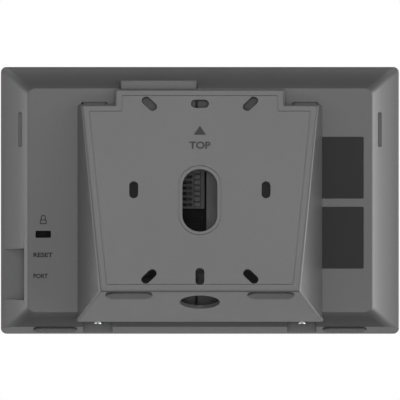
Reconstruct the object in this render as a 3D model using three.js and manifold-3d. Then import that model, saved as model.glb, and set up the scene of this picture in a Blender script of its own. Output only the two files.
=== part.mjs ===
import * as THREE from "three";
import { mergeVertices } from "three/addons/utils/BufferGeometryUtils.js";
import Module from "manifold-3d";

const wasm = await Module();
wasm.setup();

// A seven-inch display unit that leans back on a one-piece stand, which is also its wall bracket.
// All sizes are in millimetres. The unit's own frame has X across, Y out of its flat back and Z up
// the back, with its origin at the middle of the back. The stand is laid out about the same point,
// with Z upright. "Left" and "right" are the negative and positive X sides.

// Display unit
const unitWidth = 182;
const unitHeight = 122;
const unitDepth = 20;
const cornerRadius = 2.6;
const leanDegrees = 20;
const coverDepth = 17.5; // back face to the joint with the front frame
const coverWall = 2;
const bevelDepth = 10.3; // back face to the outer edge of the coved bevels
const sideCove = { width: 12.4, heel: 4, sink: 7.6 };
const endCove = { width: 9.8, heel: 2.9, sink: 7 };
const partGap = 0.3; // between pieces that rest on each other
const slideGap = 0.12; // around a piece that slides in a hole
const footProud = 0.7;

// Wiring bay and its cable channels, in the unit's back
const bayRight = 36.8;
const bayLeft = -3;
const bayHalfHeight = 33.4;
const bayDepth = 6.4;
const bayWall = 1.5;
const channelLeft = 0.9;
const channelDepth = 5;
const channelSideGap = 0.7;
const channelCoverProud = 1.2;
const channelCoverWall = 2.4;
const channelCoverLap = 3.6; // how far the upper cover's end stands out past the flat back

// Terminal block
const wayCount = 8;
const wayPitch = 2.54;
const blockLeft = -2.1;
const blockRight = 11.9;
const blockBottom = -3.7;
const blockMargin = 0.5;
const blockFace = -1.2; // Y of its face
const wireEntry = { width: 5.8, height: 1.4, fromRight: 2.45, depth: 5 };
const boardWindow = 14.3; // how far the opening over the board reaches below the terminal block
const wayButton = { width: 2.87, height: 1.96, fromLeft: 1.9, length: 4.6, proud: 0.5, stroke: 1.3 };
const clampSize = { width: 3.2, height: 1.4, length: 2.2 };

// Hooks and fixing screws that hold the unit to the stand
const hookCentre = 48.1;
const hookWidth = 10;
const hookStem = 3;
const hookCatch = 3;
const hookThickness = 1.8;
const hookDrop = 7; // flat back's upper edge to the top of the hook's stem
const hookSlotSide = 0.9;
const hookSlotAbove = 0.7;
const hookTravel = 6;
const screwCentre = 46.6;
const screwDepth = 9; // back face to the screw's axis
const screwHead = { radius: 2, height: 0.75, slotWidth: 0.5, slotDepth: 0.4 };
const screwShank = { radius: 1.25, length: 8 };
const insertSize = { radius: 2.3, bore: 1.4, length: 6 };
const notchWidth = 13.4;
const notchDepth = 15.9;
const notchWall = 1.5;
const tabWidth = 10;
const tabThickness = 2;
const tabReach = 13;

// Openings and marks in the unit's back and sides
const portRecess = { fromSide: 10.8, floor: 9.9, bottom: -45.1, top: -22.2, wall: 1.5 };
const portHeight = -34.4;
const portSize = { width: 7.6, thickness: 2.8, length: 7.2, wall: 0.35, depth: 5 };
const portTongue = { width: 4.4, thickness: 0.7, length: 3.6 };
const resetHeight = -24.8;
const resetDepth = 7.4;
const resetHole = 0.8;
const resetPlunger = { radius: 0.6, length: 2.3, travel: 0.3 };
const resetBody = { length: 3.5, width: 4, thickness: 2.6 };
const lockSlot = { fromSide: 19.6, height: -15.4, width: 7, tall: 3.2 };
const lockPlateSize = { inner: 8, outer: 4.4, height: 9, thickness: 1.5 };
const groove = { fromSide: 8.9, middle: 32.35, width: 1.8, length: 16, floor: 6.2 };
const labelSize = { fromSide: 16.3, width: 38, height: 28.3, sink: 0.5, thickness: 0.25, margin: 0.15 };
const labelBottoms = { label_upper: 0.8, label_lower: -31.1 };

// Front of the unit
const frameLip = 1.5;
const glassThickness = 1.1;
const ledgeThickness = 0.8;
const tongueLength = 2.3;
const tongueThickness = 1.2;
const panelMarginSide = 8.55;
const panelMarginEnd = 11;
const panelThickness = 1.4;
const windowGap = 0.6;
const guideThickness = 2;
const guideBorder = 2.2;
const trayWall = 0.6;
const earSize = { length: 4.6, width: 6, height: 30 };
const traySocket = { fromEdge: 6.1, radius: 2.2 };

// Board and what it carries
const boardThickness = 1.6;
const boardBack = 9; // back face of the unit to the board's back face
const boardEdges = { fromLeft: 29, fromRight: 13, below: 40, above: 38 };
const boardScrewInset = { left: 4, right: 18, end: 4 }; // the right-hand pair clears the port
const bossRadius = 3;
const smallScrew = { headRadius: 1.9, headHeight: 1.2, shankRadius: 0.95, length: 5.6 };
const traySmallScrew = { headRadius: 1.7, headHeight: 1, shankRadius: 0.8, length: 3.2 };
const threadGap = 0.15;
const canSize = { left: -46, bottom: -20, width: 34, height: 30, tall: 2.4, wall: 0.5 };
const chipSize = { width: 14, height: 14, thickness: 1 };
const speakerSize = { left: -34, bottom: 40.8, width: 26, height: 8.4, thickness: 4.6, back: 3.6 };
const antennaSize = { left: -76, bottom: 38, width: 18, height: 9, thickness: 0.8, back: 3 };
const ribbon = { width: 30, thickness: 0.3, drop: 1.2, board: 38.3 };
const ribbonSocketSize = { width: 32, height: 4, thickness: 1.4 };

// Stand
const plateProud = 3.6; // plate's outer face beyond the upper edge of the unit's flat back
const standWall = 1.8;
const plateBelowBack = 0.4; // plate's top below the flat back's upper edge, measured up the back
const shoulderDrop = 7.5;
const tabHalf = 38.7; // half the width of the plate's top tab
const sideBase = 55.8; // half the stand's width where it meets the unit's back
const sideSlope = 0.285; // how far each side leans in for each millimetre off the back
const skirtFront = 1.8; // skirt's front edge in front of the back face
const slotWidth = 4.05;
const slotLength = 8.2;
const slotRowSpacing = 83.3;
const slotDiagonalSpacing = 46;
const slotSideSpacing = 60;
const ovalHole = { width: 15.9, height: 30.2, below: 5.1 };
const skirtHole = { radius: 9.1, fromPlate: 14.7 };
const rearPadSize = { length: 20.7, width: 7.9, across: 32.05, fromPlate: 5.25 };
const frontPadSize = { length: 19.6, width: 5.7, inner: 56.3, fromFront: 3.3 };
const padSink = 0.6;
const padThickness = 1;

// Values that follow from them
const lean = THREE.MathUtils.degToRad(leanDegrees);
const leanSine = Math.sin(lean);
const leanCosine = Math.cos(lean);
const halfWidth = unitWidth / 2;
const halfHeight = unitHeight / 2;
const backTop = halfHeight - endCove.width;
const footPlane = coverDepth * leanSine - halfHeight * leanCosine; // height of the bottom wall
const lift = footProud - footPlane;
const plateFace = backTop * leanSine + plateProud;
const unitFront = -halfHeight * leanSine - unitDepth * leanCosine;
const far = 300;

// Point in the stand's frame for a place up the unit's back and out of it
function standPoint(up, out) {
  return new THREE.Vector2(up * leanSine + out * leanCosine, up * leanCosine - out * leanSine);
}

// Solids: every shape is a three.js geometry, and the cutting and joining is done between them
function toSolid(geometry) {
  const plain = geometry.clone();
  plain.deleteAttribute("normal");
  plain.deleteAttribute("uv");
  const merged = mergeVertices(plain, 1e-4);
  return new wasm.Manifold(
    new wasm.Mesh({
      numProp: 3,
      vertProperties: new Float32Array(merged.attributes.position.array),
      triVerts: new Uint32Array(merged.index.array),
    }),
  );
}

function toGeometry(solid) {
  const mesh = solid.getMesh();
  const geometry = new THREE.BufferGeometry();
  geometry.setAttribute("position", new THREE.BufferAttribute(mesh.vertProperties, 3));
  geometry.setIndex(new THREE.BufferAttribute(mesh.triVerts, 1));
  const faceted = geometry.toNonIndexed();
  faceted.computeVertexNormals();
  return faceted;
}

function block([x0, x1], [y0, y1], [z0, z1]) {
  const geometry = new THREE.BoxGeometry(x1 - x0, y1 - y0, z1 - z0);
  geometry.translate((x0 + x1) / 2, (y0 + y1) / 2, (z0 + z1) / 2);
  return toSolid(geometry);
}

function extruded(shape, depth, curveSegments = 6) {
  return new THREE.ExtrudeGeometry(shape, { depth, bevelEnabled: false, curveSegments });
}

// A shape drawn in X and Z, extruded from one Y to another
function alongY(shape, [y0, y1], curveSegments) {
  const geometry = extruded(shape, y1 - y0, curveSegments);
  geometry.rotateX(Math.PI / 2);
  geometry.translate(0, y1, 0);
  return toSolid(geometry);
}

// A shape drawn in Y and Z, extruded from one X to another
function alongX(shape, [x0, x1], curveSegments) {
  const geometry = extruded(shape, x1 - x0, curveSegments);
  const turn = new THREE.Matrix4().makeBasis(
    new THREE.Vector3(0, 1, 0),
    new THREE.Vector3(0, 0, 1),
    new THREE.Vector3(1, 0, 0),
  );
  geometry.applyMatrix4(turn);
  geometry.translate(x0, 0, 0);
  return toSolid(geometry);
}

// A shape drawn in X and Y, extruded from one Z to another
function alongZ(shape, [z0, z1], curveSegments) {
  const geometry = extruded(shape, z1 - z0, curveSegments);
  geometry.translate(0, 0, z0);
  return toSolid(geometry);
}

function polygon(points) {
  return new THREE.Shape(points.map(([x, y]) => new THREE.Vector2(x, y)));
}

function circle(radius, x = 0, y = 0) {
  const shape = new THREE.Shape();
  shape.absarc(x, y, radius, 0, Math.PI * 2, false);
  return shape;
}

function rectangle(width, height, radius, x = 0, y = 0) {
  const shape = new THREE.Shape();
  const right = width / 2 - radius;
  const top = height / 2 - radius;
  shape.absarc(x + right, y + top, radius, 0, Math.PI / 2, false);
  shape.absarc(x - right, y + top, radius, Math.PI / 2, Math.PI, false);
  shape.absarc(x - right, y - top, radius, Math.PI, Math.PI * 1.5, false);
  shape.absarc(x + right, y - top, radius, Math.PI * 1.5, Math.PI * 2, false);
  return shape;
}

// A slot with round ends, its length turned from the first axis by an angle in degrees
function slot(length, width, x, y, degrees) {
  const shape = new THREE.Shape();
  const turn = THREE.MathUtils.degToRad(degrees);
  const reach = (length - width) / 2;
  const endX = reach * Math.cos(turn);
  const endY = reach * Math.sin(turn);
  shape.absarc(x + endX, y + endY, width / 2, turn - Math.PI / 2, turn + Math.PI / 2, false);
  shape.absarc(x - endX, y - endY, width / 2, turn + Math.PI / 2, turn + Math.PI * 1.5, false);
  return shape;
}

function joined(solids) {
  return solids.reduce((whole, solid) => whole.add(solid));
}

function cut(solid, cutters) {
  return cutters.reduce((rest, cutter) => rest.subtract(cutter), solid);
}

// Expresses a solid made in the stand's upright frame in the unit's leaning one, or back
function leaned(solid, degrees) {
  return solid.rotate([degrees, 0, 0]);
}

function bothSides(make) {
  return [make(-1), make(1)];
}

function span(middle, width) {
  return [middle - width / 2, middle + width / 2];
}

// Outline of the unit across its coved edges, as points of distance across and distance out
function covedOutline(half, cove, inset, front) {
  const edge = new THREE.QuadraticBezierCurve(
    new THREE.Vector2(half - inset, -bevelDepth - inset),
    new THREE.Vector2(half - cove.width + cove.heel - inset, -cove.sink - inset),
    new THREE.Vector2(half - cove.width - inset, -inset),
  ).getPoints(5);
  const right = [[half - inset, front], ...edge.map((point) => [point.x, point.y])];
  const left = right.map(([across, out]) => [-across, out]).reverse();
  return [...right, ...left];
}

// Everything below the unit's bottom wall, in the unit's frame
function belowFoot(inset) {
  return leaned(block([-far, far], [-far, far], [-far, footPlane + inset]), leanDegrees);
}

// The unit's whole form shrunk by an inset, from a front depth to its back
function unitForm(inset, front) {
  const face = rectangle(unitWidth - 2 * inset, unitHeight - 2 * inset, Math.max(cornerRadius - inset, 0.6));
  const plan = polygon(covedOutline(halfWidth, sideCove, inset, front));
  const side = polygon(covedOutline(halfHeight, endCove, inset, front).map(([up, out]) => [out, up]));
  return alongY(face, [front, -inset])
    .intersect(alongZ(plan, [-far, far]))
    .intersect(alongX(side, [-far, far]))
    .subtract(belowFoot(inset));
}

const outerForm = unitForm(0, -coverDepth);

// Places shared by the pieces that meet there
const recessWall = halfWidth - portRecess.fromSide;
const channelSpan = [channelLeft, bayRight];
const blockSpan = [blockBottom, blockBottom + wayCount * wayPitch + 2 * blockMargin];
const lockCentre = halfWidth - lockSlot.fromSide;
const skirtEdge = (footPlane - skirtFront * leanSine) / leanCosine; // skirt's front edge, up the back
const tabSpan = [skirtEdge, skirtEdge + tabThickness];
const notchCeiling = tabSpan[1] + partGap;
const stemTop = backTop - hookDrop;
const stemSpan = [stemTop - hookStem, stemTop];
const hookSlotSpan = [stemTop + hookSlotAbove - hookStem - hookCatch - hookTravel + 2, stemTop + hookSlotAbove];
const boardSpanX = [-halfWidth + boardEdges.fromLeft, halfWidth - boardEdges.fromRight];
const boardSpanZ = [-boardEdges.below, boardEdges.above];
const boardScrews = [];
for (const x of [boardSpanX[0] + boardScrewInset.left, boardSpanX[1] - boardScrewInset.right]) {
  for (const z of [boardSpanZ[0] + boardScrewInset.end, boardSpanZ[1] - boardScrewInset.end]) {
    boardScrews.push([x, z]);
  }
}
const panelHalfWidth = halfWidth - panelMarginSide;
const panelHalfHeight = halfHeight - panelMarginEnd;
const glassBack = -unitDepth + glassThickness;
const panelSpan = [glassBack + partGap, glassBack + partGap + panelThickness];
const guideSpan = [panelSpan[1] + partGap, panelSpan[1] + partGap + guideThickness];
const traySpan = [guideSpan[0], guideSpan[1] + partGap + trayWall];
const traySockets = [];
for (const x of [-1, 1]) {
  for (const z of [-1, 1]) {
    traySockets.push([x * (halfWidth - traySocket.fromEdge), z * earSize.height]);
  }
}

function labelSpans(bottom) {
  const left = -halfWidth + labelSize.fromSide;
  return { x: [left, left + labelSize.width], z: [bottom, bottom + labelSize.height] };
}

function wayHeight(way) {
  return blockSpan[0] + blockMargin + (way + 0.5) * wayPitch;
}

// Pieces of the display unit
function rearCover() {
  const bayBox = block(
    [bayLeft - bayWall, bayRight + bayWall],
    [-bayDepth - bayWall, 0],
    [-bayHalfHeight - bayWall, bayHalfHeight + bayWall],
  );
  const channelBox = block(
    [channelLeft - bayWall, bayRight + bayWall],
    [-channelDepth - bayWall, 0],
    [-halfHeight, halfHeight],
  );
  const recessBox = block(
    [recessWall - portRecess.wall, halfWidth],
    [-portRecess.floor - portRecess.wall, 0],
    [portRecess.bottom - portRecess.wall, portRecess.top + portRecess.wall],
  );
  const notchBoxes = bothSides((side) =>
    joined([
      block(
        span(side * screwCentre, notchWidth + 2 * notchWall),
        [-coverDepth, 0],
        [-halfHeight, notchCeiling + notchWall],
      ),
      alongZ(circle(insertSize.radius + partGap + notchWall, side * screwCentre, -screwDepth), [
        notchCeiling,
        notchCeiling + insertSize.length + notchWall,
      ]),
      block(span(side * screwCentre, notchWall), [-screwDepth, -1], [notchCeiling, notchCeiling + insertSize.length]),
    ]),
  );
  const bosses = boardScrews.map(([x, z]) => alongY(circle(bossRadius, x, z), [-boardBack + partGap, -1]));
  const inside = joined([bayBox, channelBox, recessBox, ...notchBoxes, ...bosses]).intersect(outerForm);
  const shell = outerForm.subtract(unitForm(coverWall, -coverDepth - far)).add(inside);

  const portOpening = block(
    [recessWall - 2 * portRecess.wall, recessWall + 1],
    span(-boardBack + partGap + portSize.thickness / 2, portSize.thickness + 2 * partGap),
    span(portHeight, portSize.width + 2 * partGap),
  );
  const cutters = [
    block([bayLeft, bayRight], [-bayDepth, far], [-bayHalfHeight, bayHalfHeight]),
    block(channelSpan, [-channelDepth, far], [-far, far]),
    block([bayLeft, blockRight + partGap], [-far, 0], [blockSpan[0] - boardWindow, blockSpan[1] + partGap]),
    block([recessWall, far], [-portRecess.floor, far], [portRecess.bottom, portRecess.top]),
    portOpening,
    alongX(circle(resetHole, -resetDepth, resetHeight), [recessWall - 2 * portRecess.wall, recessWall + 1]),
    block(span(lockCentre, lockSlot.width), [-coverWall - 1, 1], span(lockSlot.height, lockSlot.tall)),
    ...Object.values(labelBottoms).map((bottom) => {
      const { x, z } = labelSpans(bottom);
      return block(x, [-labelSize.sink, 1], z);
    }),
    ...bothSides((side) =>
      alongY(slot(groove.length, groove.width, side * (halfWidth - groove.fromSide), groove.middle, 90), [
        -groove.floor,
        1,
      ]),
    ),
    ...bothSides((side) =>
      block(span(side * hookCentre, hookWidth + 2 * hookSlotSide), [-coverWall - 1, 1], hookSlotSpan),
    ),
    ...bothSides((side) => block(span(side * screwCentre, notchWidth), [-notchDepth, far], [-far, notchCeiling])),
    ...bothSides((side) =>
      alongZ(circle(insertSize.radius + partGap, side * screwCentre, -screwDepth), [
        notchCeiling - 1,
        notchCeiling + insertSize.length + partGap,
      ]),
    ),
    ...boardScrews.map(([x, z]) =>
      alongY(circle(smallScrew.shankRadius + threadGap, x, z), [-boardBack, -boardBack + smallScrew.length]),
    ),
    ...bothSides((side) => frontPadPocket(side)),
    trayRoom(),
  ];
  return cut(shell, cutters);
}

// The space that the backlight tray takes, which the cover's bosses stay clear of
function trayRoom() {
  const x = panelHalfWidth + partGap;
  const z = panelHalfHeight + partGap;
  return block([-x, x], [-far, traySpan[1] + partGap], [-z, z]);
}

function frontPadPocket(side) {
  const across = side * (frontPadSize.inner + frontPadSize.length / 2);
  const front = standPoint(-halfHeight, -coverDepth).x + frontPadSize.fromFront;
  const shape = slot(
    frontPadSize.length + 2 * partGap,
    frontPadSize.width + 2 * partGap,
    across,
    front + frontPadSize.width / 2,
    0,
  );
  return leaned(alongZ(shape, [footPlane - 1, footPlane + padSink]), leanDegrees);
}

function frontPad(side) {
  const across = side * (frontPadSize.inner + frontPadSize.length / 2);
  const front = standPoint(-halfHeight, -coverDepth).x + frontPadSize.fromFront;
  const shape = slot(frontPadSize.length, frontPadSize.width, across, front + frontPadSize.width / 2, 0);
  const foot = footPlane - footProud;
  return leaned(alongZ(shape, [foot, foot + padThickness]), leanDegrees);
}

function frontFrame() {
  const joint = -coverDepth - partGap;
  const rim = alongY(rectangle(unitWidth, unitHeight, cornerRadius), [-unitDepth, joint]);
  const tongueOuter = coverWall + partGap;
  const tongue = unitForm(tongueOuter, -unitDepth)
    .subtract(unitForm(tongueOuter + tongueThickness, -unitDepth - 1))
    .intersect(block([-far, far], [joint - 0.5, joint + tongueLength], [-far, far]));
  const sockets = traySockets.map(([x, z]) =>
    alongY(circle(traySocket.radius, x, z), [joint - 0.5, traySpan[1] - trayWall - partGap]),
  );
  const glassPocket = rectangle(unitWidth - 2 * frameLip, unitHeight - 2 * frameLip, cornerRadius - 1);
  const window = rectangle(2 * (panelHalfWidth + windowGap), 2 * (panelHalfHeight + windowGap), 0.5);
  const ledgeFront = joint - ledgeThickness;
  const cutters = [
    alongY(glassPocket, [-unitDepth - 1, ledgeFront]),
    alongY(window, [-unitDepth, joint + 0.1]),
    block(span(0, ribbon.width + 4), [-unitDepth, joint + far / 2], [-panelHalfHeight - ribbon.drop - 2, 0]),
    ...bothSides((side) =>
      block(
        span(side * screwCentre, notchWidth + 2 * notchWall + 2 * partGap),
        [joint, 0],
        [-far, notchCeiling + notchWall + partGap],
      ),
    ),
    ...traySockets.map(([x, z]) =>
      alongY(circle(traySmallScrew.shankRadius + threadGap, x, z), [joint - 0.4, 0]),
    ),
  ];
  return cut(joined([rim, tongue, ...sockets]), cutters);
}

function coverGlass() {
  const margin = frameLip + partGap;
  return alongY(rectangle(unitWidth - 2 * margin, unitHeight - 2 * margin, cornerRadius - 1 - partGap), [
    -unitDepth,
    glassBack,
  ]);
}

function lcdPanel() {
  return alongY(rectangle(2 * panelHalfWidth, 2 * panelHalfHeight, 0.4), panelSpan);
}

function lightGuide() {
  const width = 2 * (panelHalfWidth - guideBorder);
  const height = 2 * (panelHalfHeight - guideBorder);
  return alongY(rectangle(width, height, 0.6), guideSpan);
}

function backlightTray() {
  const outside = alongY(rectangle(2 * panelHalfWidth, 2 * panelHalfHeight, 0.8), traySpan);
  const inner = guideBorder - partGap;
  const hollow = rectangle(2 * (panelHalfWidth - inner), 2 * (panelHalfHeight - inner), 0.6);
  const ears = traySockets.map(([x, z]) => {
    const edges = [Math.sign(x) * (panelHalfWidth - 1), Math.sign(x) * (panelHalfWidth + earSize.length)];
    return block([Math.min(...edges), Math.max(...edges)], [traySpan[1] - trayWall, traySpan[1]], span(z, earSize.width));
  });
  return cut(joined([outside, ...ears]), [
    alongY(hollow, [traySpan[0] - 1, traySpan[1] - trayWall]),
    ...traySockets.map(([x, z]) => alongY(circle(traySmallScrew.shankRadius + threadGap, x, z), traySpan)),
  ]);
}

// A pan-head screw driven from the front towards the back, its head under the given Y
function backwardScrew(size, x, z, headTop) {
  return joined([
    alongY(circle(size.headRadius, x, z), [headTop - size.headHeight, headTop]),
    alongY(circle(size.shankRadius, x, z), [headTop - 0.2, headTop + size.length]),
  ]).subtract(
    joined([
      block(span(x, 2 * size.shankRadius), [headTop - size.headHeight - 1, headTop - size.headHeight / 2], span(z, 0.5)),
      block(span(x, 0.5), [headTop - size.headHeight - 1, headTop - size.headHeight / 2], span(z, 2 * size.shankRadius)),
    ]),
  );
}

function boardScrew([x, z]) {
  return backwardScrew(smallScrew, x, z, -boardBack - boardThickness - partGap);
}

// A tray screw is driven from the back towards the front
function trayScrew([x, z]) {
  const seat = traySpan[1] + partGap;
  return backwardScrew(traySmallScrew, 0, 0, 0).rotate([0, 0, 180]).translate([x, seat, z]);
}

function mainBoard() {
  const board = block(boardSpanX, [-boardBack - boardThickness, -boardBack], boardSpanZ);
  return cut(
    board,
    boardScrews.map(([x, z]) => alongY(circle(smallScrew.shankRadius + threadGap, x, z), [-boardBack - far, 0])),
  );
}

function terminalBlock() {
  const body = block([blockLeft, blockRight], [-boardBack + partGap, blockFace], blockSpan);
  const cutters = [];
  for (let way = 0; way < wayCount; way += 1) {
    const middle = wayHeight(way);
    const entryRight = blockRight - wireEntry.fromRight;
    const buttonLeft = blockLeft + wayButton.fromLeft;
    cutters.push(
      block([entryRight - wireEntry.width, entryRight], [blockFace - wireEntry.depth, 1], span(middle, wireEntry.height)),
      block(
        [buttonLeft - slideGap, buttonLeft + wayButton.width + slideGap],
        [blockFace + wayButton.proud - wayButton.length - wayButton.stroke - slideGap, 1],
        span(middle, wayButton.height + 2 * slideGap),
      ),
    );
  }
  return cut(body, cutters);
}

function terminalButton(way) {
  const left = blockLeft + wayButton.fromLeft;
  const face = blockFace + wayButton.proud;
  return block([left, left + wayButton.width], [face - wayButton.length, face], span(wayHeight(way), wayButton.height));
}

// Spring clamp at the bottom of a wire entry, bent from a strip into an angle
function terminalClamp(way) {
  const right = blockRight - wireEntry.fromRight - slideGap;
  const left = right - clampSize.width;
  const floor = blockFace - wireEntry.depth + slideGap;
  const leaf = 0.4;
  return joined([
    block([left, right], [floor, floor + leaf], span(wayHeight(way), clampSize.height - 2 * slideGap)),
    block([left, left + leaf], [floor, floor + clampSize.length], span(wayHeight(way), clampSize.height - 2 * slideGap)),
  ]);
}

// A plain open-mouthed socket with a contact tongue
function portSocket() {
  const mouth = recessWall - partGap;
  const middle = -boardBack + partGap + portSize.thickness / 2;
  const inner = [portSize.thickness - 2 * portSize.wall, portSize.width - 2 * portSize.wall];
  const body = block([mouth - portSize.length, mouth], span(middle, portSize.thickness), span(portHeight, portSize.width));
  const hollow = block([mouth - portSize.depth, mouth + 1], span(middle, inner[0]), span(portHeight, inner[1]));
  const tongue = block(
    [mouth - portSize.depth - 0.5, mouth - portSize.depth + portTongue.length],
    span(middle, portTongue.thickness),
    span(portHeight, portTongue.width),
  );
  return body.subtract(hollow).add(tongue);
}

const plungerEnd = recessWall - portRecess.wall - partGap;
const resetFace = plungerEnd - resetPlunger.length / 2;

function resetSwitch() {
  const body = block(
    [resetFace - resetBody.length, resetFace],
    span(-boardBack + partGap + resetBody.thickness / 2, resetBody.thickness),
    span(resetHeight, resetBody.width),
  );
  const bore = alongX(circle(resetPlunger.radius + slideGap, -resetDepth, resetHeight), [
    plungerEnd - resetPlunger.length - resetPlunger.travel - slideGap,
    resetFace + 1,
  ]);
  return body.subtract(bore);
}

function resetButton() {
  return alongX(circle(resetPlunger.radius, -resetDepth, resetHeight), [plungerEnd - resetPlunger.length, plungerEnd]);
}

function lockPlate() {
  const back = -coverWall - partGap;
  const plate = block(
    [lockCentre - lockPlateSize.inner, lockCentre + lockPlateSize.outer],
    [back - lockPlateSize.thickness, back],
    span(lockSlot.height, lockPlateSize.height),
  );
  return plate.subtract(block(span(lockCentre, lockSlot.width), [-far, 0], span(lockSlot.height, lockSlot.tall)));
}

function label(bottom) {
  const { x, z } = labelSpans(bottom);
  const floor = -labelSize.sink + 0.1;
  const trim = labelSize.margin;
  const shape = rectangle(x[1] - x[0] - 2 * trim, z[1] - z[0] - 2 * trim, 0.6, (x[0] + x[1]) / 2, (z[0] + z[1]) / 2);
  return alongY(shape, [floor, floor + labelSize.thickness]);
}

// A channel cover: a lid over the channel with a skirt along each side, open towards the unit
function channelCover(side) {
  const x = [channelSpan[0] + channelSideGap, channelSpan[1] - channelSideGap];
  const inner = bayHalfHeight + 1;
  const outer = side > 0 ? backTop + channelCoverLap : backTop - 1;
  const z = side > 0 ? [inner, outer] : [-outer, -inner];
  const y = [-channelDepth + partGap, channelCoverProud];
  const hollowZ = side > 0 ? [-far, outer - channelCoverWall] : [-outer + channelCoverWall, far];
  const hollow = block(
    [x[0] + channelCoverWall, x[1] - channelCoverWall],
    [-far, channelCoverProud - channelCoverWall],
    hollowZ,
  );
  return block(x, y, z).subtract(hollow);
}

function shieldCan() {
  const { left, bottom, width, height, tall, wall } = canSize;
  const y = [-boardBack + partGap, -boardBack + partGap + tall];
  const hollow = block([left + wall, left + width - wall], [-boardBack, y[1] - wall], [bottom + wall, bottom + height - wall]);
  return block([left, left + width], y, [bottom, bottom + height]).subtract(hollow);
}

function processor() {
  const x = canSize.left + canSize.width / 2;
  const z = canSize.bottom + canSize.height / 2;
  const y = [-boardBack + partGap, -boardBack + partGap + chipSize.thickness];
  return block(span(x, chipSize.width), y, span(z, chipSize.height));
}

function loudspeaker() {
  const { left, bottom, width, height, thickness, back } = speakerSize;
  const body = rectangle(width, height, 1.5, left + width / 2, bottom + height / 2);
  return alongY(body, [-back - thickness, -back]);
}

function antennaBoard() {
  const { left, bottom, width, height, thickness, back } = antennaSize;
  return block([left, left + width], [-back - thickness, -back], [bottom, bottom + height]);
}

// The flat ribbon leaves the panel's lower edge, turns round the tray and runs up to the board
function displayRibbon() {
  const { width, thickness, drop, board } = ribbon;
  const low = -panelHalfHeight - drop;
  const front = panelSpan[0] + 0.3;
  const back = traySpan[1] + 0.4;
  const shape = polygon([
    [front, -panelHalfHeight - partGap],
    [front, low],
    [back + thickness, low],
    [back + thickness, -board],
    [back, -board],
    [back, low + thickness],
    [front + thickness, low + thickness],
    [front + thickness, -panelHalfHeight - partGap],
  ]);
  return alongX(shape, span(0, width));
}

function ribbonSocket() {
  const front = -boardBack - boardThickness - partGap;
  const bottom = -ribbon.board + partGap;
  const { width, height, thickness } = ribbonSocketSize;
  return block(span(0, width), [front - thickness, front], [bottom, bottom + height]);
}

function threadedInsert(side) {
  const bottom = notchCeiling + partGap;
  const ring = [bottom, bottom + insertSize.length - partGap];
  return alongZ(circle(insertSize.radius, side * screwCentre, -screwDepth), ring, 8).subtract(
    alongZ(circle(insertSize.bore, side * screwCentre, -screwDepth), [-far, far], 8),
  );
}

// Pieces of the stand
function standForm(inset) {
  const top = standPoint(backTop - plateBelowBack, partGap);
  const plate = plateFace - inset;
  const floor = footPlane + inset;
  const ledge = footPlane + standWall;
  const edge = standPoint(skirtEdge, -skirtFront).x;
  const ledgeUp = (ledge + partGap * leanSine) / leanCosine;
  const heel = standPoint(ledgeUp, partGap);
  const plateTop = (backTop - plateBelowBack - plateFace * leanSine) / leanCosine;
  const profile = polygon([
    [plate, floor],
    [plate, plateTop],
    [top.x, top.y],
    [heel.x, heel.y],
    [edge, ledge],
    [edge, floor],
  ]);
  return alongX(profile, [-far, far]);
}

// The stand's tapering sides, as a solid between them in the unit's frame, cut back at the shoulders
function standSides(inset, up) {
  const low = -40;
  const high = 80;
  const halfAt = (out) => sideBase - inset - sideSlope * out;
  const sides = polygon([
    [-halfAt(low), low],
    [halfAt(low), low],
    [halfAt(high), high],
    [-halfAt(high), high],
  ]);
  const shoulders = bothSides((side) => {
    const edges = [side * (tabHalf - inset), side * far];
    return block([Math.min(...edges), Math.max(...edges)], [-far, far], [backTop - shoulderDrop - inset, far]);
  });
  return cut(alongZ(sides, [-far, up]), shoulders);
}

function padShape(side, spare) {
  return slot(
    rearPadSize.length + 2 * spare,
    rearPadSize.width + 2 * spare,
    side * rearPadSize.across,
    plateFace - rearPadSize.fromPlate,
    0,
  );
}

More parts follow.
